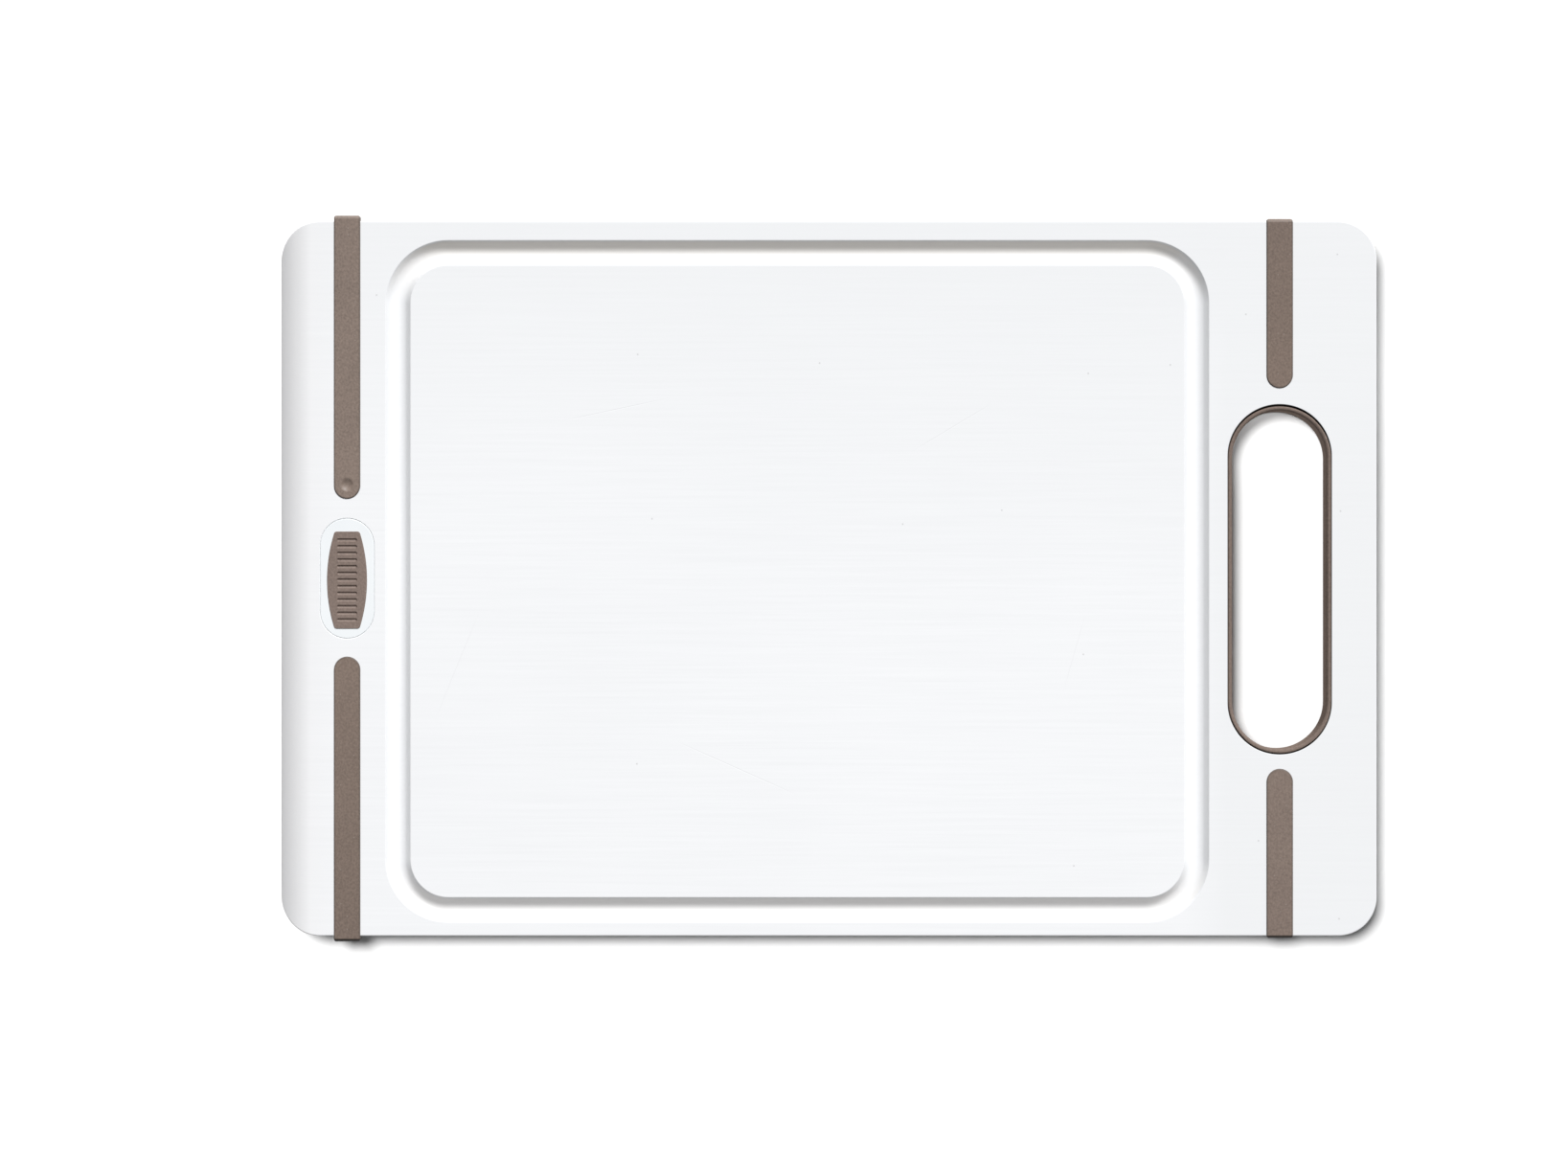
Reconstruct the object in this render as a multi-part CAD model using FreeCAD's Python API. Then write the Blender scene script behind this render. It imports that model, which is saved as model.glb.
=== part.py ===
import FreeCAD, Part
import math
import os

# Cutting board: a white plastic slab with a juice groove, four rubber strips that wrap its long edges, a
# rubber-lined hand slot, and an oval plug that carries a ribbed badge.
#
# Units are millimetres. The origin lies under the middle of the slab, level with the surface that the strips
# rest on. +X runs from the rolled nose to the hand slot, +Y runs across the board and +Z points up.

V = FreeCAD.Vector

# Slab
LENGTH = 370.8
WIDTH = 241.5
THICKNESS = 12.0
NOSE_CORNER_R = 14.0
SLOT_CORNER_R = 13.0
NOSE_TOP_R = 12.5
NOSE_TOP_TURN = 57.0  # degrees that the large radius turns through before the tip's small one takes over
NOSE_TIP_R = 1.5
NOSE_BOTTOM_R = 4.0
NOSE_CORNER_RUNOUT = 0.15  # the corner arcs aim this far past the nose, which leaves it a narrow flat front
EDGE_R = 0.4

# Juice groove in the upper face
GROOVE_FROM_NOSE = 36.0
GROOVE_LENGTH = 278.2
GROOVE_ACROSS = 230.4
GROOVE_Y = -0.9  # the groove's loop lies this far off the board's centre line
GROOVE_OUTER_R = 21.2
GROOVE_W = 8.4
GROOVE_FLOOR_R = 3.7
GROOVE_WALL_SLOPE = 50.0  # degrees from level
GROOVE_EDGE_R = 0.4

# Rubber strips
STRIP_STAND = 0.4  # how far the rubber stands out of both faces of the slab
STRIP_W = 8.8
STRIP_DEPTH = 2.0  # how deep the rubber is let into the slab
STRIP_EDGE_R = 0.3
WRAP_R = 1.2  # the rounding where a strip turns over the long edge
WRAP_CORNER_R = 0.9  # the wrap's corners, seen from above
WRAP_LIP_H = 3.0  # only this much of the wrap's height stands out as a lip
WRAP_UNDER_OVERHANG = 0.3  # how far the rest of the wrap stands out of the long edge
NOSE_STRIP_FROM_NOSE = 23.0
NOSE_STRIP_INNER_ENDS = {1: 27.0, -1: 26.5}  # on the +Y side and the -Y side, from the board's centre line
NOSE_STRIP_OVERHANG = 1.95  # how far the wrap's lip stands out of the long edge
NOSE_STRIP_TIES = 3
SLOT_STRIP_FROM_END = 32.75
SLOT_STRIP_INNER_END = 64.4
SLOT_STRIP_OVERHANG = 0.8
SLOT_STRIP_TIES = 2
TIE_R = 2.0  # the rubber columns that join a strip's two legs through the slab
TIE_FROM_INNER_END = 5.2
TIE_FROM_EDGE = 9.0
GATE_Y = 31.7  # the moulding gate's dimple, over the first tie of one strip
GATE_R = 2.1
GATE_DEPTH = 0.65
GATE_RIM_R = 1.2

# Hand slot and its rubber lining
SLOT_Y = -0.3  # the slot lies this far off the board's centre line
SLOT_LENGTH = 118.4
SLOT_W = 35.2
SLOT_EDGE_R = 0.2
LINING_T = 1.45
LINING_SIDE_GAP = 0.15  # between the slot's wall and a centred lining, above and below its tongue
LINING_END_GAP = 0.55
LINING_SHIFT_X = 0.04  # the lining has settled toward one corner of its slot, which opens the gap opposite
LINING_SHIFT_Y = -0.15
LINING_SINK = 0.35  # how far the lining's rims lie below the faces of the slab
LINING_OUTER_R = 0.4
LINING_INNER_R = 0.95
TONGUE_T = 1.5  # how far the rib that keys the lining into the slab reaches beyond the slot's wall
TONGUE_H = 4.0

# Oval plug and its badge
PLUG_LENGTH = 40.6
PLUG_W = 18.3
PLUG_T = 4.0
PLUG_GAP = 0.05
PLUG_CHAMFER = 0.2
PEG_R = 2.5
PEG_LENGTH = 3.0
PEG_SPACING = 24.0
BADGE_Y = -0.5  # the badge lies this far off the plug's middle
BADGE_LENGTH = 32.8
BADGE_MIDDLE_W = 13.5
BADGE_END_W = 8.4
BADGE_CORNER_R = 1.0
BADGE_T = 1.75
BADGE_STAND = 0.25
BADGE_EDGE_R = 0.15
STUD_R = 1.5
STUD_LENGTH = 1.2
STUD_SPACING = 20.0
FLUTE_COUNT = 13
FLUTE_PITCH = 2.25
FLUTE_LENGTH = 7.0
FLUTE_R = 0.65
FLUTE_DEPTH = 0.45

# Levels and places that follow from the sizes above
BOTTOM = STRIP_STAND
TOP = BOTTOM + THICKNESS
HEIGHT = TOP + STRIP_STAND
MIDDLE = HEIGHT / 2
BADGE_TOP = TOP + BADGE_STAND
NOSE_X = -LENGTH / 2
END_X = LENGTH / 2
NOSE_STRIP_X = NOSE_X + NOSE_STRIP_FROM_NOSE
SLOT_STRIP_X = END_X - SLOT_STRIP_FROM_END
GROOVE_LOW_X = NOSE_X + GROOVE_FROM_NOSE
GROOVE_HIGH_X = GROOVE_LOW_X + GROOVE_LENGTH

CUT_PAST = 1.0  # how far a cutter runs past the faces that it opens
NEAR = 0.1  # edges within this of a place are taken to lie there
HALF_WAY = 1 - math.sqrt(0.5)  # of a quarter arc's radius, from the corner it rounds to the arc's middle


# Outlines and cutters


def line(start, end):
    return Part.LineSegment(start, end).toShape()


def arc(start, through, end):
    return Part.Arc(start, through, end).toShape()


def prism(wire, height):
    """A solid that stands on a flat closed wire."""
    return Part.Face(wire).extrude(V(0, 0, height))


def rounded_rectangle(x_low, x_high, y_half, low_r, high_r, z):
    """A closed wire, with a corner radius of its own at each end in X."""
    edges = []
    for x, inward, r in ((x_low, 1, low_r), (x_high, -1, high_r)):
        for side in (1, -1):
            start = V(x, side * (y_half - r), z)
            through = V(x + inward * r * HALF_WAY, side * (y_half - r * HALF_WAY), z)
            end = V(x + inward * r, side * y_half, z)
            edges.append(arc(start, through, end))
        edges.append(line(V(x, y_half - r, z), V(x, r - y_half, z)))
    for side in (1, -1):
        edges.append(line(V(x_low + low_r, side * y_half, z), V(x_high - high_r, side * y_half, z)))
    return Part.Wire(Part.__sortEdges__(edges))


def stadium(x, y, width, length, z):
    """A closed wire of two straight sides along Y and two half-round ends."""
    r = width / 2
    straight = length / 2 - r
    return Part.Wire(
        [
            line(V(x + r, y - straight, z), V(x + r, y + straight, z)),
            arc(V(x + r, y + straight, z), V(x, y + length / 2, z), V(x - r, y + straight, z)),
            line(V(x - r, y + straight, z), V(x - r, y - straight, z)),
            arc(V(x - r, y - straight, z), V(x, y - length / 2, z), V(x + r, y - straight, z)),
        ]
    )


def column(x, y, z_low, z_high, r):
    return Part.makeCylinder(r, z_high - z_low, V(x, y, z_low))


def spread(first, last, count):
    """Evenly spaced values from first to last."""
    return [first + (last - first) * i / (count - 1) for i in range(count)]


def edges_where(shape, keep):
    """The shape's edges whose bounding boxes pass the test."""
    return [edge for edge in shape.Edges if keep(edge.BoundBox)]


def lies_at(box, z):
    return abs(box.ZMin - z) < NEAR and abs(box.ZMax - z) < NEAR


def rims(shape, levels, x_low, x_high, y_half):
    """The flat edges at the given levels that keep within a rectangle centred on the X axis."""

    def belongs(box):
        within_x = box.XMin > x_low - NEAR and box.XMax < x_high + NEAR
        within_y = box.YMin > -y_half - NEAR and box.YMax < y_half + NEAR
        return within_x and within_y and any(lies_at(box, z) for z in levels)

    return edges_where(shape, belongs)


# Slab


def on_circle(centre, r, turn):
    """A point of an upright circle. A turn of 0 degrees is its top, and 90 is its side toward the nose."""
    angle = math.radians(turn)
    return centre + V(-r * math.sin(angle), 0, r * math.cos(angle))


def nose_profile():
    """The slab from its long side: a large radius falls to a small tip, and a third rolls under it."""
    far = END_X + CUT_PAST
    fall = math.radians(NOSE_TOP_TURN)
    flat_x = NOSE_X + NOSE_TIP_R + (NOSE_TOP_R - NOSE_TIP_R) * math.sin(fall)
    over = V(flat_x, 0, TOP - NOSE_TOP_R)
    tip = on_circle(over, NOSE_TOP_R - NOSE_TIP_R, NOSE_TOP_TURN)
    under = V(NOSE_X + NOSE_BOTTOM_R, 0, BOTTOM + NOSE_BOTTOM_R)
    over_start, over_mid, over_end = (on_circle(over, NOSE_TOP_R, a) for a in spread(0, NOSE_TOP_TURN, 3))
    _, tip_mid, tip_end = (on_circle(tip, NOSE_TIP_R, a) for a in spread(NOSE_TOP_TURN, 90, 3))
    under_start, under_mid, under_end = (on_circle(under, NOSE_BOTTOM_R, a) for a in spread(90, 180, 3))
    return Part.Wire(
        [
            arc(over_start, over_mid, over_end),
            arc(over_end, tip_mid, tip_end),
            line(tip_end, under_start),
            arc(under_start, under_mid, under_end),
            line(under_end, V(far, 0, BOTTOM)),
            line(V(far, 0, BOTTOM), V(far, 0, TOP)),
            line(V(far, 0, TOP), over_start),
        ]
    )


def slab():
    """The rounded slab with its rolled nose and its softened edges."""
    outline = rounded_rectangle(
        NOSE_X - NOSE_CORNER_RUNOUT, END_X, WIDTH / 2, NOSE_CORNER_R, SLOT_CORNER_R, BOTTOM
    )
    rolled = Part.Face(nose_profile()).extrude(V(0, WIDTH + 2 * CUT_PAST, 0))
    rolled.translate(V(0, -WIDTH / 2 - CUT_PAST, 0))
    blank = prism(outline, THICKNESS).common(rolled)
    long_edges = edges_where(
        blank, lambda box: (lies_at(box, TOP) or lies_at(box, BOTTOM)) and box.XLength > LENGTH / 2
    )
    return blank.makeFillet(EDGE_R, long_edges)


def groove_section(x):
    """The channel across its run: a round floor between two sloped walls, which run on past the face."""
    slope = math.radians(GROOVE_WALL_SLOPE)
    floor_half = GROOVE_FLOOR_R * math.sin(slope)
    wall_foot = TOP - (GROOVE_W / 2 - floor_half) * math.tan(slope)
    floor = wall_foot - GROOVE_FLOOR_R * (1 - math.cos(slope))
    roof_half = GROOVE_W / 2 + CUT_PAST / math.tan(slope)
    feet = [V(x + side * floor_half, 0, wall_foot) for side in (-1, 1)]
    roof = [V(x + side * roof_half, 0, TOP + CUT_PAST) for side in (-1, 1)]
    return Part.Wire(
        [
            arc(feet[0], V(x, 0, floor), feet[1]),
            line(feet[1], roof[1]),
            line(roof[1], roof[0]),
            line(roof[0], feet[0]),
        ]
    )


def groove_cutter():
    x_low = GROOVE_LOW_X + GROOVE_W / 2
    x_high = GROOVE_HIGH_X - GROOVE_W / 2
    corner_r = GROOVE_OUTER_R - GROOVE_W / 2
    path = rounded_rectangle(x_low, x_high, (GROOVE_ACROSS - GROOVE_W) / 2, corner_r, corner_r, TOP)
    cutter = path.makePipeShell([groove_section(x_low)], True, True)
    cutter.translate(V(0, GROOVE_Y, 0))
    return cutter


def cut_groove(body):
    body = body.cut(groove_cutter())
    edges = rims(body, (TOP,), GROOVE_LOW_X, GROOVE_HIGH_X, GROOVE_ACROSS / 2 + abs(GROOVE_Y))
    return body.makeFillet(GROOVE_EDGE_R, edges)


def cut_hand_slot(body):
    """A through slot with softened rims. A groove half way down its wall holds the lining's tongue."""
    slot = stadium(SLOT_STRIP_X, SLOT_Y, SLOT_W, SLOT_LENGTH, BOTTOM - CUT_PAST)
    body = body.cut(prism(slot, THICKNESS + 2 * CUT_PAST))
    low_x = SLOT_STRIP_X - SLOT_W / 2
    edges = rims(body, (BOTTOM, TOP), low_x, low_x + SLOT_W, SLOT_LENGTH / 2 + abs(SLOT_Y))
    body = body.makeFillet(SLOT_EDGE_R, edges)
    return body.cut(prism(tongue_outline(), TONGUE_H))


def cut_plug_seat(body):
    """A flat-bottomed oval pocket with a softened rim and two peg holes in its floor."""
    floor = TOP - PLUG_T
    seat = stadium(NOSE_STRIP_X, 0, PLUG_W, PLUG_LENGTH, floor)
    body = body.cut(prism(seat, PLUG_T + CUT_PAST))
    low_x = NOSE_STRIP_X - PLUG_W / 2
    edges = rims(body, (TOP,), low_x, low_x + PLUG_W, PLUG_LENGTH / 2)
    body = body.makeChamfer(PLUG_CHAMFER, edges)
    for y in spread(-PEG_SPACING / 2, PEG_SPACING / 2, 2):
        body = body.cut(column(NOSE_STRIP_X, y, floor - PEG_LENGTH, floor, PEG_R))
    return body


def board_body(strips):
    """The slab with everything that is cut into it. Each strip leaves a channel of its own shape."""
    body = cut_plug_seat(cut_hand_slot(cut_groove(slab())))
    for strip in strips:
        body = body.cut(strip)
    return body


# Rubber


def strip_bar(x, side, inner_end, overhang):
    """A strip's outer shape: half round at its inner end, and rounded where it turns over the edge."""
    reach = WIDTH / 2 + overhang
    bar = Part.makeBox(2 * STRIP_W, reach, HEIGHT, V(x - STRIP_W, min(0, side * reach), 0))
    outer = edges_where(bar, lambda box: box.XLength > STRIP_W and side * box.YMax > NEAR)
    bar = bar.makeFillet(WRAP_R, outer)
    plan_length = 2 * (WIDTH / 2 - inner_end)
    plan = stadium(x, side * (inner_end + plan_length / 2), STRIP_W, plan_length, -CUT_PAST)
    return bar.common(prism(plan, HEIGHT + 2 * CUT_PAST))


def trim_wrap(strip, x, side, overhang):
    """Rounds the wrap's corners as seen from above, and steps the wrap back below its lip."""
    x_low = x - STRIP_W / 2
    reach = WIDTH / 2 + overhang
    plan = rounded_rectangle(x_low, x_low + STRIP_W, reach, WRAP_CORNER_R, WRAP_CORNER_R, -CUT_PAST)
    strip = strip.common(prism(plan, HEIGHT + 2 * CUT_PAST))
    near = side * (WIDTH / 2 + WRAP_UNDER_OVERHANG)
    far = side * (reach + CUT_PAST)
    corner = V(x - STRIP_W, min(near, far), -CUT_PAST)
    return strip.cut(Part.makeBox(2 * STRIP_W, abs(far - near), HEIGHT - WRAP_LIP_H + CUT_PAST, corner))


def rubber_strip(x, side, inner_end, overhang, tie_count):
    """A U of rubber over the long edge, with columns that tie its legs together through the slab."""
    strip = strip_bar(x, side, inner_end, overhang)
    perimeter = edges_where(
        strip, lambda box: box.ZLength < HEIGHT - NEAR and (box.XLength < NEAR or box.YLength > NEAR)
    )
    strip = trim_wrap(strip.makeFillet(STRIP_EDGE_R, perimeter), x, side, overhang)
    core_reach = WIDTH / 2 - STRIP_DEPTH
    core_low = V(x - STRIP_W, min(0, side * core_reach), BOTTOM + STRIP_DEPTH)
    strip = strip.cut(Part.makeBox(2 * STRIP_W, core_reach, THICKNESS - 2 * STRIP_DEPTH, core_low))
    for y in spread(inner_end + TIE_FROM_INNER_END, WIDTH / 2 - TIE_FROM_EDGE, tie_count):
        strip = strip.fuse(column(x, side * y, BOTTOM + STRIP_DEPTH, TOP - STRIP_DEPTH, TIE_R))
    return strip


def nose_strip(side):
    inner_end = NOSE_STRIP_INNER_ENDS[side]
    return rubber_strip(NOSE_STRIP_X, side, inner_end, NOSE_STRIP_OVERHANG, NOSE_STRIP_TIES)


def slot_strip(side):
    return rubber_strip(SLOT_STRIP_X, side, SLOT_STRIP_INNER_END, SLOT_STRIP_OVERHANG, SLOT_STRIP_TIES)


def with_gate(strip, x, y):
    """A shallow round dimple with a soft rim in the strip's upper face."""
    ball_r = (GATE_R**2 + GATE_DEPTH**2) / (2 * GATE_DEPTH)
    strip = strip.cut(Part.makeSphere(ball_r, V(x, y, HEIGHT - GATE_DEPTH + ball_r)))
    rim = edges_where(strip, lambda box: lies_at(box, HEIGHT) and box.DiagonalLength < 4 * GATE_R)
    return strip.makeFillet(GATE_RIM_R, rim)


def tongue_outline():
    width = SLOT_W + 2 * TONGUE_T
    length = SLOT_LENGTH + 2 * TONGUE_T
    return stadium(SLOT_STRIP_X, SLOT_Y, width, length, MIDDLE - TONGUE_H / 2)


def grip_ring():
    """The hand slot's lining: a band with soft rims, and a tongue that sits in the slab."""
    low = BOTTOM + LINING_SINK
    high = TOP - LINING_SINK
    x = SLOT_STRIP_X + LINING_SHIFT_X
    y = SLOT_Y + LINING_SHIFT_Y
    width = SLOT_W - 2 * LINING_SIDE_GAP
    length = SLOT_LENGTH - 2 * LINING_END_GAP
    band = prism(stadium(x, y, width, length, low), high - low)
    band = band.makeFillet(LINING_OUTER_R, edges_where(band, lambda box: box.ZLength < NEAR))
    band = band.fuse(prism(tongue_outline(), TONGUE_H))
    opening_w = width - 2 * LINING_T
    opening_length = length - 2 * LINING_T
    band = band.cut(prism(stadium(x, y, opening_w, opening_length, -CUT_PAST), HEIGHT + 2 * CUT_PAST))
    edges = rims(band, (low, high), x - opening_w / 2, x + opening_w / 2, opening_length / 2 + abs(y))
    return band.makeFillet(LINING_INNER_R, edges)


# Plug and badge


def bowed_outline(z):
    """The badge's barrel shape: flat ends across X, and two bowed sides."""
    half_end = BADGE_END_W / 2
    half_middle = BADGE_MIDDLE_W / 2
    half_length = BADGE_LENGTH / 2
    edges = []
    for side in (1, -1):
        start = V(NOSE_STRIP_X + side * half_end, BADGE_Y + side * half_length, z)
        through = V(NOSE_STRIP_X + side * half_middle, BADGE_Y, z)
        end = V(NOSE_STRIP_X + side * half_end, BADGE_Y - side * half_length, z)
        next_start = V(NOSE_STRIP_X - side * half_end, BADGE_Y - side * half_length, z)
        edges.append(arc(start, through, end))
        edges.append(line(end, next_start))
    return Part.Wire(edges)


def badge_blank():
    """The badge before its flutes are cut: a plate with a softened rim, and two studs under it."""
    floor = BADGE_TOP - BADGE_T
    blank = prism(bowed_outline(floor), BADGE_T)
    blank = blank.makeFillet(BADGE_CORNER_R, edges_where(blank, lambda box: box.ZLength > BADGE_T - NEAR))
    blank = blank.makeFillet(BADGE_EDGE_R, edges_where(blank, lambda box: lies_at(box, BADGE_TOP)))
    for y in spread(-STUD_SPACING / 2, STUD_SPACING / 2, 2):
        blank = blank.fuse(column(NOSE_STRIP_X, BADGE_Y + y, floor - STUD_LENGTH, floor, STUD_R))
    return blank


def flute_cutter(y):
    """A bar across the badge with ball ends. Its lower part leaves a shallow flute."""
    level = BADGE_TOP - FLUTE_DEPTH + FLUTE_R
    straight = FLUTE_LENGTH - 2 * FLUTE_R
    bar = Part.makeCylinder(FLUTE_R, straight, V(NOSE_STRIP_X - straight / 2, y, level), V(1, 0, 0))
    for x in spread(-straight / 2, straight / 2, 2):
        bar = bar.fuse(Part.makeSphere(FLUTE_R, V(NOSE_STRIP_X + x, y, level)))
    return bar


def badge_plate():
    plate = badge_blank()
    last = FLUTE_PITCH * (FLUTE_COUNT - 1) / 2
    for y in spread(-last, last, FLUTE_COUNT):
        plate = plate.cut(flute_cutter(BADGE_Y + y))
    return plate


def badge_plug():
    """An oval plug, flush with the upper face, with a chamfered rim and two press pegs under it."""
    floor = TOP - PLUG_T
    outline = stadium(NOSE_STRIP_X, 0, PLUG_W - 2 * PLUG_GAP, PLUG_LENGTH - 2 * PLUG_GAP, floor)
    plug = prism(outline, PLUG_T)
    plug = plug.makeChamfer(PLUG_CHAMFER, edges_where(plug, lambda box: lies_at(box, TOP)))
    for y in spread(-PEG_SPACING / 2, PEG_SPACING / 2, 2):
        plug = plug.fuse(column(NOSE_STRIP_X, y, floor - PEG_LENGTH, floor, PEG_R))
    return plug.cut(badge_blank())


def build():
    strips = {
        "strip_rear_left": nose_strip(1),
        "strip_front_left": nose_strip(-1),
        "strip_rear_right": slot_strip(1),
        "strip_front_right": slot_strip(-1),
    }
    body = board_body(strips.values())
    strips["strip_rear_left"] = with_gate(strips["strip_rear_left"], NOSE_STRIP_X, GATE_Y)
    return {
        "board_body": body,
        **strips,
        "grip_ring": grip_ring(),
        "badge_plug": badge_plug(),
        "badge_plate": badge_plate(),
    }


os.makedirs("parts", exist_ok=True)
for name, shape in build().items():
    shape.exportStep(f"parts/{name}.step")
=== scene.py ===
import math

import bmesh
import bpy
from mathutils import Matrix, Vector


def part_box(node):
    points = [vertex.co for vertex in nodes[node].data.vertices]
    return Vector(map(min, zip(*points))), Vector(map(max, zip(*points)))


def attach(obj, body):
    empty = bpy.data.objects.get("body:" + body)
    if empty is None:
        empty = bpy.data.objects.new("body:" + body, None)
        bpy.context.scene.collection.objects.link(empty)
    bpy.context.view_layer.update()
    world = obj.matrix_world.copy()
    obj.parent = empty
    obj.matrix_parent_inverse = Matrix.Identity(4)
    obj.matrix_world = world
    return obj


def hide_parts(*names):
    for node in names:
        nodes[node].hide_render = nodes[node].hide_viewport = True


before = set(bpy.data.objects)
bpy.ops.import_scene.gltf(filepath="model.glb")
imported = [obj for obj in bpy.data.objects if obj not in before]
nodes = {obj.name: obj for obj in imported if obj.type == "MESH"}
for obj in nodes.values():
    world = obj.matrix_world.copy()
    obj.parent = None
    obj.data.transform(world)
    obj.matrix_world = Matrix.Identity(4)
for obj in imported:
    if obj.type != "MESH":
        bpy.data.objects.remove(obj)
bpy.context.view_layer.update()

# The looks of a cutting board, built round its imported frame. Lengths are metres, in the frame's
# axes: +X runs from the rolled nose to the hand slot, +Y across the board and +Z up.

MM = 0.001

# Places that the frame gives
SLAB_LOW, SLAB_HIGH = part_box("board_body")
PLUG_LOW, PLUG_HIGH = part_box("badge_plug")
RING_LOW, RING_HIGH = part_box("grip_ring")
TOP = SLAB_HIGH.z
BOTTOM = SLAB_LOW.z
MIDDLE = (TOP + BOTTOM) / 2
PLUG_X = (PLUG_LOW.x + PLUG_HIGH.x) / 2
SLOT_X = (RING_LOW.x + RING_HIGH.x) / 2
SLOT_Y = (RING_LOW.y + RING_HIGH.y) / 2

# Slab
NOSE_CORNER_R = 14 * MM
SLOT_CORNER_R = 13 * MM
NOSE_TOP_R = 12.5 * MM
NOSE_TOP_TURN = math.radians(57)
NOSE_TIP_R = 1.5 * MM
NOSE_BOTTOM_R = 4 * MM
EDGE_R = 0.4 * MM

# Juice groove: the outer rim's box, its corner radius, and the channel's section
GROOVE_LOW_X = SLAB_LOW.x + 36 * MM
GROOVE_HIGH_X = GROOVE_LOW_X + 278.2 * MM
GROOVE_HALF_Y = 115.2 * MM
GROOVE_Y = -0.9 * MM
GROOVE_OUTER_R = 21.2 * MM
GROOVE_W = 8.4 * MM
GROOVE_FLOOR_R = 3.7 * MM
GROOVE_SLOPE = math.radians(50)
GROOVE_EDGE = 0.19 * MM

# Hand slot, and the groove in its wall that holds the lining's tongue
TONGUE_T = 1.5 * MM
TONGUE_H = 4 * MM
SLOT_EDGE = 0.2 * MM
SLOT_HALF_W = RING_HIGH.x - SLOT_X - TONGUE_T
SLOT_STRAIGHT = RING_HIGH.y - SLOT_Y - TONGUE_T - SLOT_HALF_W

# Seats of the plug and of the rubber strips, with the number of each strip's ties
PLUG_GAP = 0.05 * MM
PLUG_DEPTH = 4 * MM
PLUG_FLARE = 0.2 * MM
STRIP_DEPTH = 2 * MM
STRIP_FLARE = 0.12 * MM
TIE_R = 2 * MM
TIE_FROM_INNER_END = 5.2 * MM
TIE_FROM_EDGE = 9 * MM
STRIP_TIES = {
    "strip_rear_left": 3,
    "strip_front_left": 3,
    "strip_rear_right": 2,
    "strip_front_right": 2,
}
PEG_R = 2.5 * MM
PEG_DEPTH = 3 * MM
PEG_Y = 12 * MM

# The nose's curves: where the flat ends, and the middle of the tip's circle
FLAT_X = SLAB_LOW.x + NOSE_TIP_R + (NOSE_TOP_R - NOSE_TIP_R) * math.sin(NOSE_TOP_TURN)
TIP_X = SLAB_LOW.x + NOSE_TIP_R
TIP_Z = TOP - NOSE_TOP_R + (NOSE_TOP_R - NOSE_TIP_R) * math.cos(NOSE_TOP_TURN)
TIP_JOIN_X = TIP_X - NOSE_TIP_R * math.sin(NOSE_TOP_TURN)

# Modelling: how far cutters reach past a face, how close two points become one, how finely curves
# are divided, and how much an edge turns before it counts as sharp
CUT_PAST = 1 * MM
WELD = 1e-4 * MM
ARC_STEPS = 32
EDGE_STEPS = 8
NOSE_STEPS = 20
FLOOR_ARC_STEPS = 24
SHARP = math.radians(35)

# Base colours of the rubber pieces, in linear light
RUBBER_TONES = {
    "strip_rear_left": (0.228, 0.174, 0.144),
    "strip_front_left": (0.200, 0.150, 0.122),
    "strip_rear_right": (0.197, 0.145, 0.117),
    "strip_front_right": (0.213, 0.161, 0.134),
    "grip_ring": (0.210, 0.163, 0.139),
    "badge_plate": (0.220, 0.165, 0.140),
}

# The other colours, in linear light
BOARD_DARK = (0.869, 0.877, 0.892, 1)
BOARD_LIGHT = (0.915, 0.923, 0.937, 1)
# Painted shade: the board's colour toward the back and past the groove, and over the nose
BOARD_FAR_SHADE = (0.850, 0.860, 0.873, 1)
BOARD_NOSE_SHADE = (0.858, 0.855, 0.864, 1)
# Painted shade in the groove: warm, and deepest on its back wall
GROOVE_WARM_SHADE = (0.885, 0.872, 0.858, 1)
GROOVE_BACK_SHADE = (0.76, 0.71, 0.63, 1)
# Painted shade in the gap between the slot's wall and the lining
SLOT_SHADE_BLACK = (0.035, 0.03, 0.027, 1)
SPOT_GREY = (0.25, 0.24, 0.23, 1)
CUT_GREY = (0.62, 0.62, 0.62, 1)
PLUG_DARK = (0.868, 0.900, 0.920, 1)
PLUG_LIGHT = (0.892, 0.918, 0.936, 1)
FLECK_GREY = (0.55, 0.51, 0.48, 1)
# Painted shade round the strips' rims and over the front strips' rolls
STRIP_SHADE_BLACK = (0.03, 0.022, 0.018, 1)
FLOOR_DARK = (0.445, 0.445, 0.445, 1)
FLOOR_LIGHT = (0.455, 0.455, 0.455, 1)
SKY_COLOUR = (0.985, 0.99, 1.0, 1)

# Knife marks on the cutting face: the middle, degrees from +X, the length and half the width
KNIFE_MARKS = (
    (-0.1252, -0.0294, 67.7, 0.040, 0.00025),
    (0.0420, 0.0510, 31.0, 0.034, 0.00018),
    (-0.0310, -0.0640, -24.0, 0.046, 0.00018),
    (0.0830, -0.0260, 74.0, 0.028, 0.00016),
    (-0.0720, 0.0570, 12.0, 0.038, 0.00016),
)


# Mesh building


def outline(centre, half, radii, grow=0.0):
    """Points round a rectangle whose corners at low X and at high X have the two radii given. A
    positive grow moves the whole outline outward."""
    points = []
    for quarter, (side_x, side_y) in enumerate(((1, 1), (-1, 1), (-1, -1), (1, -1))):
        radius = radii[0] if side_x < 0 else radii[1]
        corner_x = centre[0] + side_x * (half[0] - radius)
        corner_y = centre[1] + side_y * (half[1] - radius)
        reach = radius + grow
        for step in range(ARC_STEPS + 1):
            angle = math.pi / 2 * (quarter + step / ARC_STEPS)
            points.append((corner_x + reach * math.cos(angle), corner_y + reach * math.sin(angle)))
    return points


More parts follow.
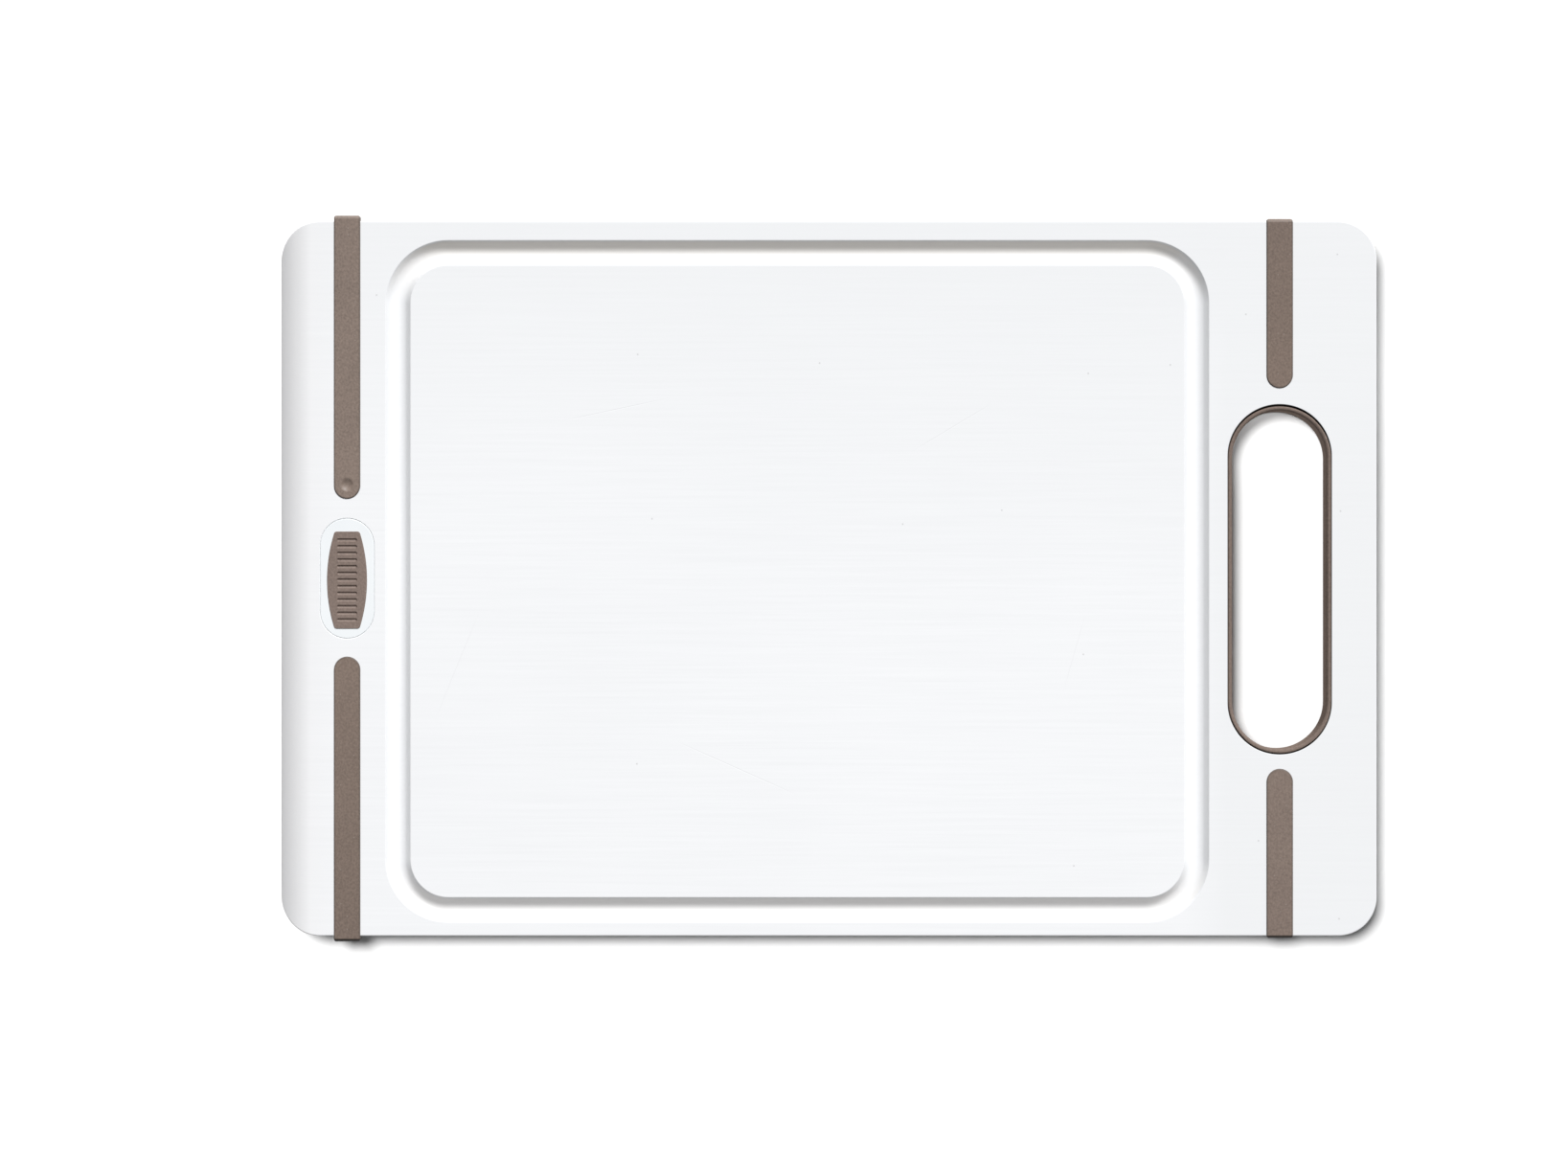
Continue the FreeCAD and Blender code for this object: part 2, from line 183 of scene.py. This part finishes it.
def skin(rings, closed=False):
    """A mesh through rings of equal length. It is capped at both ends, or joined end to end if closed."""
    mesh = bmesh.new()
    loops = [[mesh.verts.new(point) for point in ring] for ring in rings]
    following = loops[1:] + loops[:1] if closed else loops[1:]
    for low, high in zip(loops, following):
        for here in range(len(low)):
            after = (here + 1) % len(low)
            mesh.faces.new((low[here], low[after], high[after], high[here]))
    if not closed:
        mesh.faces.new(loops[0][::-1])
        mesh.faces.new(loops[-1])
    bmesh.ops.remove_doubles(mesh, verts=mesh.verts, dist=WELD)
    bmesh.ops.recalc_face_normals(mesh, faces=mesh.faces)
    return mesh


def turned(profile, *shape, closed=False):
    """A skin whose rings are one outline, grown and raised by each (grow, z) of the profile."""
    rings = [[(x, y, z) for x, y in outline(*shape, grow=grow)] for grow, z in profile]
    return skin(rings, closed)


def as_object(mesh, name):
    data = bpy.data.meshes.new(name)
    mesh.to_mesh(data)
    mesh.free()
    made = bpy.data.objects.new(name, data)
    bpy.context.scene.collection.objects.link(made)
    return made


def carve(piece, cutters):
    """Cuts every cutter out of the piece, for good."""
    for cutter in cutters:
        cut = piece.modifiers.new(cutter.name, "BOOLEAN")
        cut.operation = "DIFFERENCE"
        cut.solver = "EXACT"
        cut.object = cutter
    graph = bpy.context.evaluated_depsgraph_get()
    carved = bpy.data.meshes.new_from_object(piece.evaluated_get(graph))
    piece.modifiers.clear()
    piece.data = carved
    for cutter in cutters:
        bpy.data.objects.remove(cutter)


def smooth(piece):
    """Smooth shading that keeps flat faces flat and sharp edges sharp."""
    piece.data.shade_smooth()
    piece.data.set_sharp_from_angle(angle=SHARP)
    weighted = piece.modifiers.new("weighted_normals", "WEIGHTED_NORMAL")
    weighted.keep_sharp = True
    weighted.weight = 100


# Slab


def circle_height(radius, run):
    """The height of a circle above its centre, at a distance across from it."""
    return math.sqrt(max(0.0, radius**2 - run**2))


def nose_top(x):
    """The upper face's level at x. It falls along a large circle to the small one of the nose's tip."""
    if x < TIP_JOIN_X:
        return TIP_Z + circle_height(NOSE_TIP_R, TIP_X - x)
    return TOP - NOSE_TOP_R + circle_height(NOSE_TOP_R, max(0.0, FLAT_X - x))


def nose_bottom(x):
    """The lower face's level at x. It rises along one circle."""
    run = max(0.0, SLAB_LOW.x + NOSE_BOTTOM_R - x)
    return BOTTOM + NOSE_BOTTOM_R - circle_height(NOSE_BOTTOM_R, run)


def nose_slices():
    """Where along X the slab is sliced, so that both curves of the nose come out smooth."""
    turns = [NOSE_TOP_TURN * step / NOSE_STEPS for step in range(NOSE_STEPS + 1)]
    over = [FLAT_X - NOSE_TOP_R * math.sin(turn) for turn in turns]
    tip = [TIP_X - NOSE_TIP_R * math.sin(math.radians(angle)) for angle in (64, 71, 78, 84)]
    return over + tip


def slab_blank():
    """The rounded slab. Its height is squeezed between the two curves of the nose."""
    turns = [math.pi / 2 * step / EDGE_STEPS for step in range(EDGE_STEPS + 1)]
    lower = [(EDGE_R * (math.sin(turn) - 1), BOTTOM + EDGE_R * (1 - math.cos(turn))) for turn in turns]
    upper = [(grow, TOP + BOTTOM - z) for grow, z in reversed(lower)]
    centre = ((SLAB_LOW.x + SLAB_HIGH.x) / 2, 0)
    half = ((SLAB_HIGH.x - SLAB_LOW.x) / 2, SLAB_HIGH.y)
    mesh = turned(lower + upper, centre, half, (NOSE_CORNER_R, SLOT_CORNER_R))
    for x in nose_slices():
        everything = mesh.verts[:] + mesh.edges[:] + mesh.faces[:]
        bmesh.ops.bisect_plane(mesh, geom=everything, plane_co=(x, 0, 0), plane_no=(1, 0, 0), dist=WELD)
    for vert in mesh.verts:
        share = (vert.co.z - BOTTOM) / (TOP - BOTTOM)
        low = nose_bottom(vert.co.x)
        vert.co.z = low + share * (nose_top(vert.co.x) - low)
    return as_object(mesh, "board_slab")


def rounded_corner(before, corner, after, steps=4):
    """Points of a small curve that takes the place of a profile's corner."""
    ends = (before, corner, after)
    points = []
    for step in range(steps + 1):
        part = step / steps
        weights = ((1 - part) ** 2, 2 * part * (1 - part), part**2)
        points.append(tuple(sum(w * end[axis] for w, end in zip(weights, ends)) for axis in (0, 1)))
    return points


def groove_cutter():
    """A ring whose underside is the channel: a round floor between two sloped walls with softened rims."""
    half_w = GROOVE_W / 2
    foot = GROOVE_FLOOR_R * math.sin(GROOVE_SLOPE)
    centre_z = TOP - (half_w - foot) * math.tan(GROOVE_SLOPE) + GROOVE_FLOOR_R * math.cos(GROOVE_SLOPE)
    floor_arc = []
    for step in range(FLOOR_ARC_STEPS + 1):
        turn = GROOVE_SLOPE * (2 * step / FLOOR_ARC_STEPS - 1)
        floor_arc.append((GROOVE_FLOOR_R * math.sin(turn), centre_z - GROOVE_FLOOR_R * math.cos(turn)))
    wall_end = (half_w - GROOVE_EDGE * math.cos(GROOVE_SLOPE), TOP - GROOVE_EDGE * math.sin(GROOVE_SLOPE))
    high_rim = rounded_corner(wall_end, (half_w, TOP), (half_w + GROOVE_EDGE, TOP))
    high_side = high_rim + [(half_w + GROOVE_EDGE + CUT_PAST, TOP + CUT_PAST)]
    low_side = [(-across, z) for across, z in reversed(high_side)]
    centre = ((GROOVE_LOW_X + GROOVE_HIGH_X) / 2, GROOVE_Y)
    half = ((GROOVE_HIGH_X - GROOVE_LOW_X) / 2 - half_w, GROOVE_HALF_Y - half_w)
    radius = GROOVE_OUTER_R - half_w
    profile = low_side + floor_arc + high_side
    return as_object(turned(profile, centre, half, (radius, radius), closed=True), "groove_cutter")


def slot_cutter():
    """The hand slot, with softened rims, and the groove in its wall."""
    rim = rounded_corner((SLOT_EDGE, TOP), (0, TOP), (0, TOP - SLOT_EDGE))
    upper = [(SLOT_EDGE + CUT_PAST, TOP + CUT_PAST)] + rim
    upper += [(0, MIDDLE + TONGUE_H / 2), (TONGUE_T, MIDDLE + TONGUE_H / 2)]
    lower = [(grow, TOP + BOTTOM - z) for grow, z in reversed(upper)]
    half = (SLOT_HALF_W, SLOT_STRAIGHT + SLOT_HALF_W)
    radii = (SLOT_HALF_W, SLOT_HALF_W)
    return as_object(turned(upper + lower, (SLOT_X, SLOT_Y), half, radii), "slot_cutter")


def seat_cutter(name, centre, half, depth, flare):
    """A flat-bottomed pocket in the upper face, whose rim opens out a little."""
    profile = [(0, TOP - depth), (0, TOP - flare), (flare, TOP), (flare + CUT_PAST, TOP + CUT_PAST)]
    return as_object(turned(profile, centre, half, (half[0], half[0])), name)


def column_cutter(name, x, y, radius, low, high):
    round_end = (radius, radius)
    return as_object(turned([(0, low), (0, high)], (x, y), round_end, round_end), name)


def plug_cutters():
    """The oval insert's pocket, and the two holes for its pegs in the pocket's floor."""
    half = (PLUG_HIGH.x - PLUG_X + PLUG_GAP, PLUG_HIGH.y + PLUG_GAP)
    cutters = [seat_cutter("plug_seat", (PLUG_X, 0), half, PLUG_DEPTH, PLUG_FLARE)]
    floor = TOP - PLUG_DEPTH
    for side in (1, -1):
        name = f"peg_hole_{side}"
        cutters.append(column_cutter(name, PLUG_X, side * PEG_Y, PEG_R, floor - PEG_DEPTH, floor + CUT_PAST))
    return cutters


def mirrored(piece, name):
    """A copy of a cutter, turned over to the slab's other face."""
    mesh = bmesh.new()
    mesh.from_mesh(piece.data)
    for vert in mesh.verts:
        vert.co.z = TOP + BOTTOM - vert.co.z
    bmesh.ops.reverse_faces(mesh, faces=mesh.faces)
    return as_object(mesh, name)


def edge_notch(name, x, side, half_w):
    """What a strip takes out of the long edge, from face to face."""
    edge = SLAB_HIGH.y
    across = (
        (half_w, edge - STRIP_DEPTH),
        (half_w, edge - STRIP_FLARE),
        (half_w + STRIP_FLARE, edge),
        (half_w + STRIP_FLARE + CUT_PAST, edge + CUT_PAST),
    )
    high_side = [(x + out, side * y) for out, y in across]
    low_side = [(x - out, side * y) for out, y in reversed(across)]
    plan = high_side + low_side
    rings = [[(*point, z) for point in plan] for z in (BOTTOM - CUT_PAST, TOP + CUT_PAST)]
    return as_object(skin(rings), name)


def strip_cutters(strip):
    """The seat of one strip: a channel in each face, a notch in the edge, and holes for its ties."""
    low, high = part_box(strip)
    x = (low.x + high.x) / 2
    half_w = (high.x - low.x) / 2
    side = 1 if low.y > 0 else -1
    inner_end = min(abs(low.y), abs(high.y))
    half_length = SLAB_HIGH.y - inner_end
    centre = (x, side * (inner_end + half_length))
    channel = seat_cutter(strip + "_seat", centre, (half_w, half_length), STRIP_DEPTH, STRIP_FLARE)
    under_channel = mirrored(channel, strip + "_under_seat")
    cutters = [channel, under_channel, edge_notch(strip + "_notch", x, side, half_w)]
    first = inner_end + TIE_FROM_INNER_END
    last = SLAB_HIGH.y - TIE_FROM_EDGE
    low_z = BOTTOM + STRIP_DEPTH - CUT_PAST
    high_z = TOP - STRIP_DEPTH + CUT_PAST
    for tie in range(STRIP_TIES[strip]):
        y = side * (first + (last - first) * tie / (STRIP_TIES[strip] - 1))
        cutters.append(column_cutter(f"{strip}_tie_{tie}", x, y, TIE_R, low_z, high_z))
    return cutters


def board_slab():
    """The whole slab, with its groove, slot and seats cut."""
    slab = slab_blank()
    cutters = [groove_cutter(), slot_cutter()] + plug_cutters()
    for strip in STRIP_TIES:
        cutters += strip_cutters(strip)
    carve(slab, cutters)
    smooth(slab)
    return slab


# Materials


class Paint:
    """One material's node tree, built from short calls. An input is a number, a colour or a node's
    output."""

    def __init__(self, name):
        self.material = bpy.data.materials.new(name)
        self.material.use_nodes = True
        self.tree = self.material.node_tree
        self.surface = self.tree.nodes["Principled BSDF"]
        self.place = self.node("ShaderNodeTexCoord").outputs["Object"]

    def node(self, kind, inputs=(), **settings):
        made = self.tree.nodes.new(kind)
        for key, value in settings.items():
            setattr(made, key, value)
        for key, value in dict(inputs).items():
            self.feed(made.inputs[key], value)
        return made

    def feed(self, socket, value):
        if isinstance(value, bpy.types.NodeSocket):
            self.tree.links.new(value, socket)
        else:
            socket.default_value = value

    def finish(self, **inputs):
        for key, value in inputs.items():
            self.feed(self.surface.inputs[key.replace("_", " ")], value)
        return self.material

    def math(self, operation, a, b=0.0):
        return self.node("ShaderNodeMath", {0: a, 1: b}, operation=operation).outputs[0]

    def product(self, first, *factors):
        """All the inputs multiplied together."""
        for factor in factors:
            first = self.math("MULTIPLY", first, factor)
        return first

    def stretch(self, x, y, z):
        """The place, with each axis multiplied."""
        return self.node("ShaderNodeMapping", {"Vector": self.place, "Scale": (x, y, z)}).outputs[0]

    def noise(self, scale, detail=2.0, place=None, roughness=0.5):
        inputs = {"Vector": place or self.place, "Scale": scale, "Detail": detail, "Roughness": roughness}
        return self.node("ShaderNodeTexNoise", inputs).outputs["Fac"]

    def remap(self, value, low, high, to_low=0.0, to_high=1.0):
        inputs = {"Value": value, 1: low, 2: high, 3: to_low, 4: to_high}
        return self.node("ShaderNodeMapRange", inputs).outputs[0]

    def spread(self, noise, to_low=0.0, to_high=1.0):
        """A noise whose usual span is stretched to the two levels given."""
        return self.remap(noise, 0.3, 0.7, to_low, to_high)

    def mix(self, share, a, b):
        """Colour a, and that share of colour b. The node's colour sockets are its inputs 6 and 7."""
        made = self.node("ShaderNodeMix", data_type="RGBA")
        for key, value in ((0, share), (6, a), (7, b)):
            self.feed(made.inputs[key], value)
        return made.outputs[2]

    def specks(self, scale, radius, share):
        """Small round spots: one place in each cell of the given scale, in that share of the cells."""
        inputs = {"Vector": self.place, "Scale": scale, "Randomness": 1.0}
        cells = self.node("ShaderNodeTexVoronoi", inputs, voronoi_dimensions="2D")
        spot = self.remap(cells.outputs["Distance"], radius * scale, 0.5 * radius * scale)
        pick = self.node("ShaderNodeSeparateColor", {0: cells.outputs["Color"]}).outputs[0]
        return self.math("MULTIPLY", spot, self.math("GREATER_THAN", pick, 1 - share))

    def axes(self, place=None):
        """The place's X, Y and Z, each on its own."""
        return self.node("ShaderNodeSeparateXYZ", {0: place or self.place}).outputs

    def reach(self, centre_x, low_y, high_y):
        """How far a place is, in plan, from a line along Y between the two levels of Y given."""
        x, y, _ = self.axes()
        past = self.math("MAXIMUM", self.math("SUBTRACT", y, high_y), self.math("SUBTRACT", low_y, y))
        offset = {0: self.math("SUBTRACT", x, centre_x), 1: self.math("MAXIMUM", past, 0.0)}
        vector = self.node("ShaderNodeCombineXYZ", offset).outputs[0]
        return self.node("ShaderNodeVectorMath", {0: vector}, operation="LENGTH").outputs["Value"]

    def knife_mark(self, x, y, angle, length, half_w):
        """A faint straight line that thins out toward its ends: 1 on it, 0 away from it."""
        inputs = {"Vector": self.place, "Location": (x, y, 0), "Rotation": (0, 0, math.radians(angle))}
        turned_place = self.node("ShaderNodeMapping", inputs, vector_type="TEXTURE").outputs[0]
        along, across, _ = self.axes(turned_place)
        taper = self.remap(self.math("ABSOLUTE", along), length / 2, length / 4)
        line = self.remap(self.math("ABSOLUTE", across), half_w, half_w / 3)
        return self.math("MULTIPLY", line, taper)

    def bump(self, height, distance):
        """A rough surface, whose height is in units of the distance given."""
        inputs = {"Height": height, "Distance": distance, "Strength": 1.0}
        return self.node("ShaderNodeBump", inputs).outputs[0]


def cutter_streaks(paint):
    """Fine lines along X, some long and some short."""
    long_streaks = paint.noise(1.0, 3, paint.stretch(14, 900, 900))
    short_streaks = paint.noise(1.0, 2, paint.stretch(45, 2600, 2600))
    return paint.math("ADD", paint.product(long_streaks, 0.6), paint.product(short_streaks, 0.4))


def painted_board_shade(paint, colour):
    """Painted shade: the board's colour is darker toward the back and past the groove, and greyer over the
    nose, as the light falls off there.
    """
    x, y, _ = paint.axes()
    toward_back = paint.remap(paint.math("ADD", y, paint.product(x, 0.1)), 0, SLAB_HIGH.y)
    past_groove = paint.remap(x, GROOVE_HIGH_X - 9 * MM, GROOVE_HIGH_X + 6 * MM, 0, 0.9)
    colour = paint.mix(paint.math("MAXIMUM", toward_back, past_groove), colour, BOARD_FAR_SHADE)
    on_nose = paint.remap(x, FLAT_X + 8 * MM, SLAB_LOW.x + 6 * MM, 0, 0.8)
    return paint.mix(on_nose, colour, BOARD_NOSE_SHADE)


def groove_painted_shade(paint, colour):
    """Painted shade in the groove's two long runs: a warm darkening, which is strongest on the wall at the
    back.
    """
    x, y, z = paint.axes()
    across = paint.math("ABSOLUTE", paint.math("SUBTRACT", y, GROOVE_Y))
    in_groove = paint.product(
        paint.remap(z, TOP - 0.2 * MM, TOP - 0.8 * MM),
        paint.math("GREATER_THAN", z, MIDDLE),
        paint.remap(across, GROOVE_HALF_Y - 20 * MM, GROOVE_HALF_Y - GROOVE_W),
        paint.math("LESS_THAN", across, GROOVE_HALF_Y),
        paint.math("GREATER_THAN", x, GROOVE_LOW_X),
        paint.math("LESS_THAN", x, GROOVE_HIGH_X),
    )
    colour = paint.mix(paint.product(in_groove, 0.7), colour, GROOVE_WARM_SHADE)
    back_rim = GROOVE_Y + GROOVE_HALF_Y
    back_wall = paint.product(in_groove, paint.remap(y, back_rim - 6 * MM, back_rim - 2 * MM, 0, 0.45))
    return paint.mix(back_wall, colour, GROOVE_BACK_SHADE)


def slot_gap_painted_shade(paint, colour):
    """Painted shade: the slot's wall is made near black just below the face, where the lining leaves a gap.
    """
    from_slot = paint.reach(SLOT_X, SLOT_Y - SLOT_STRAIGHT, SLOT_Y + SLOT_STRAIGHT)
    on_wall = paint.math("LESS_THAN", from_slot, SLOT_HALF_W + 0.05 * MM)
    below_face = paint.remap(paint.axes()[2], TOP - 0.1 * MM, TOP - 0.4 * MM)
    return paint.mix(paint.product(on_wall, below_face), colour, SLOT_SHADE_BLACK)


def knife_marks(paint):
    """All the knife marks: 1 on them, 0 away from them."""
    marks = 0.0
    for mark in KNIFE_MARKS:
        marks = paint.math("MAXIMUM", marks, paint.knife_mark(*mark))
    return marks


def white_board():
    """Machined white plastic: cutter streaks, painted shade toward the back, over the nose, in the groove
    and in the slot's gap, specks and knife marks.
    """
    paint = Paint("white_board")
    streaks = cutter_streaks(paint)
    clouds = paint.noise(9, 3)
    shade = paint.math("ADD", paint.spread(clouds, -0.4, 0.4), paint.spread(streaks, -0.6, 0.6))
    colour = paint.mix(paint.remap(shade, -1, 1), BOARD_DARK, BOARD_LIGHT)
    # Painted shade: falloff toward the back and over the nose, in the groove, and in the slot's gap
    colour = slot_gap_painted_shade(paint, groove_painted_shade(paint, painted_board_shade(paint, colour)))
    on_top = paint.math("GREATER_THAN", paint.axes()[2], TOP - 0.1 * MM)
    spots = paint.product(paint.specks(34, 0.4 * MM, 0.2), on_top, 0.3)
    colour = paint.mix(spots, colour, SPOT_GREY)
    marks = paint.product(knife_marks(paint), on_top)
    colour = paint.mix(paint.product(marks, 0.12), colour, CUT_GREY)
    rough = paint.spread(streaks, 0.42, 0.58)
    height = paint.math("SUBTRACT", streaks, marks)
    return paint.finish(Base_Color=colour, Roughness=rough, Normal=paint.bump(height, 0.02 * MM))


def white_plug():
    """Smooth moulded plastic, a little cooler than the board."""
    paint = Paint("white_plug")
    clouds = paint.noise(60, 3)
    grain = paint.noise(1800, 2)
    colour = paint.mix(paint.spread(clouds), PLUG_DARK, PLUG_LIGHT)
    rough = paint.spread(clouds, 0.34, 0.46)
    return paint.finish(Base_Color=colour, Roughness=rough, Normal=paint.bump(grain, 0.01 * MM))


def strip_painted_shade(paint, strip):
    """Painted shade on a strip: a fine dark line round its rim, and a dark roll over a front edge."""
    low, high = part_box(strip)
    half_w = (high.x - low.x) / 2
    rear = low.y > 0
    start, end = (low.y + half_w, high.y) if rear else (low.y, high.y - half_w)
    from_spine = paint.reach((low.x + high.x) / 2, start, end)
    rim = paint.remap(from_spine, half_w - 0.5 * MM, half_w - 0.2 * MM, 0, 0.45)
    if rear:
        return rim
    roll = paint.remap(paint.axes()[1], low.y + 1.15 * MM, low.y + 0.8 * MM)
    return paint.math("MAXIMUM", rim, roll)


def strip_fade(paint):
    """What a strip's tone gains near the middle of the board and loses toward the long edge."""
    from_middle = paint.math("ABSOLUTE", paint.axes()[1])
    return paint.remap(from_middle, 35 * MM, SLAB_HIGH.y, 0.07, -0.1)


def taupe_rubber(name, base, seed, gloss):
    """Matt moulded rubber: finely mottled, uneven in tone along its run, with tiny light flecks."""
    paint = Paint(name + "_rubber")
    mottle = paint.noise(1500, 3, paint.stretch(1, 0.8, 1), 0.65)
    grain = paint.noise(2600, 2)
    dusty = paint.noise(34 + seed, 2)
    dark = [channel * 0.68 for channel in base] + [1]
    light = [channel * 1.32 for channel in base] + [1]
    dust = paint.remap(dusty, 0.35, 0.65, -0.02, 0.12)
    tone = paint.math("ADD", paint.spread(mottle, 0.15, 0.75), dust)
    if name in STRIP_TIES:
        tone = paint.math("ADD", tone, strip_fade(paint))
    colour = paint.mix(tone, dark, light)
    flecks = paint.specks(420 + 30 * seed, 0.2 * MM, 0.06)
    colour = paint.mix(paint.product(flecks, 0.3), colour, FLECK_GREY)
    if name in STRIP_TIES:
        # Painted shade round the strip's rim and over a front strip's roll
        colour = paint.mix(strip_painted_shade(paint, name), colour, STRIP_SHADE_BLACK)
    height = paint.math("ADD", paint.product(mottle, 0.6), paint.product(grain, 0.4))
    rough = paint.spread(mottle, 0.46, 0.58)
    normal = paint.bump(height, 0.03 * MM)
    return paint.finish(Base_Color=colour, Roughness=rough, Normal=normal, Specular_IOR_Level=gloss)


def pale_floor():
    """A plain pale surface, very slightly uneven in tone."""
    paint = Paint("pale_floor")
    colour = paint.mix(paint.spread(paint.noise(3, 2)), FLOOR_DARK, FLOOR_LIGHT)
    return paint.finish(Base_Color=colour, Roughness=0.9)


def wear(piece, material):
    piece.data.materials.clear()
    piece.data.materials.append(material)


# Stage


def floor():
    """A wide flat block, whose top is the surface that the board stands on."""
    half = 6.0
    thickness = 20 * MM
    corners = ((-half, -half), (half, -half), (half, half), (-half, half))
    rings = [[(*corner, z) for corner in corners] for z in (-thickness, 0)]
    made = as_object(skin(rings), "floor")
    wear(made, pale_floor())
    return made


def hang(name, data, lit):
    """Puts a lamp in the scene, which lights only the listed objects."""
    lamp = bpy.data.objects.new(name, data)
    bpy.context.scene.collection.objects.link(lamp)
    receivers = bpy.data.collections.new(name + "_receivers")
    for thing in lit:
        receivers.objects.link(thing)
    lamp.light_linking.receiver_collection = receivers
    return lamp


def sun(name, toward, strength, softness, lit):
    """A broad soft light from the direction given."""
    data = bpy.data.lights.new(name, "SUN")
    data.energy = strength
    data.angle = math.radians(softness)
    lamp = hang(name, data, lit)
    lamp.rotation_mode = "QUATERNION"
    lamp.rotation_quaternion = Vector(toward).to_track_quat("Z", "Y")


def fill(name, x, y, reach, strength, lit):
    """A small soft light from straight above, whose round pool fades out at its reach."""
    above = 0.6
    data = bpy.data.lights.new(name, "SPOT")
    data.energy = strength
    data.spot_size = 2 * math.atan(reach / above)
    data.spot_blend = 1
    data.shadow_soft_size = 0.02
    lamp = hang(name, data, lit)
    lamp.location = (x, y, above)
    lamp.visible_camera = False


def direction(azimuth, elevation):
    """A unit vector toward a place in the sky. Azimuth is in degrees from +Y toward +X."""
    turn = math.radians(azimuth)
    rise = math.radians(elevation)
    return (math.sin(turn) * math.cos(rise), math.cos(turn) * math.cos(rise), math.sin(rise))


def sky(strength):
    """A faint even light from all round."""
    world = bpy.data.worlds.new("studio")
    world.use_nodes = True
    background = world.node_tree.nodes["Background"]
    background.inputs["Color"].default_value = SKY_COLOUR
    background.inputs["Strength"].default_value = strength
    bpy.context.scene.world = world


def camera():
    """Looks straight down, from a little nearer the nose than the board's middle."""
    above = 1.35
    frame_width = 529.7 * MM
    data = bpy.data.cameras.new("camera")
    data.sensor_width = 36
    data.lens = data.sensor_width * above / frame_width
    made = bpy.data.objects.new("camera", data)
    made.location = (-14.8 * MM, -3.2 * MM, TOP + above)
    bpy.context.scene.collection.objects.link(made)
    bpy.context.scene.camera = made


# The scene. Each lamp lights either the board or the floor, because the shading of the one and the
# shadows on the other come from different directions. The fill lightens the shadow in the slot.
slab = board_slab()
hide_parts("board_body")
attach(slab, "root")
wear(slab, white_board())
for seed, (name, base) in enumerate(RUBBER_TONES.items()):
    gloss = 0 if name == "grip_ring" else 0.5
    wear(nodes[name], taupe_rubber(name, base, seed, gloss))
wear(nodes["badge_plug"], white_plug())

ground = floor()
shown = [slab] + [nodes[name] for name in nodes if name != "board_body"]
sky(strength=0.22)
sun("key", direction(azimuth=21, elevation=41), strength=3.99, softness=18, lit=shown)
sun("floor_light", direction(azimuth=-48, elevation=68.8), strength=7.2, softness=21.5, lit=[ground])
fill("slot_fill", x=SLOT_X, y=RING_HIGH.y + 7 * MM, reach=32 * MM, strength=16.5, lit=[ground])
camera()
bpy.context.scene.view_settings.view_transform = "Standard"
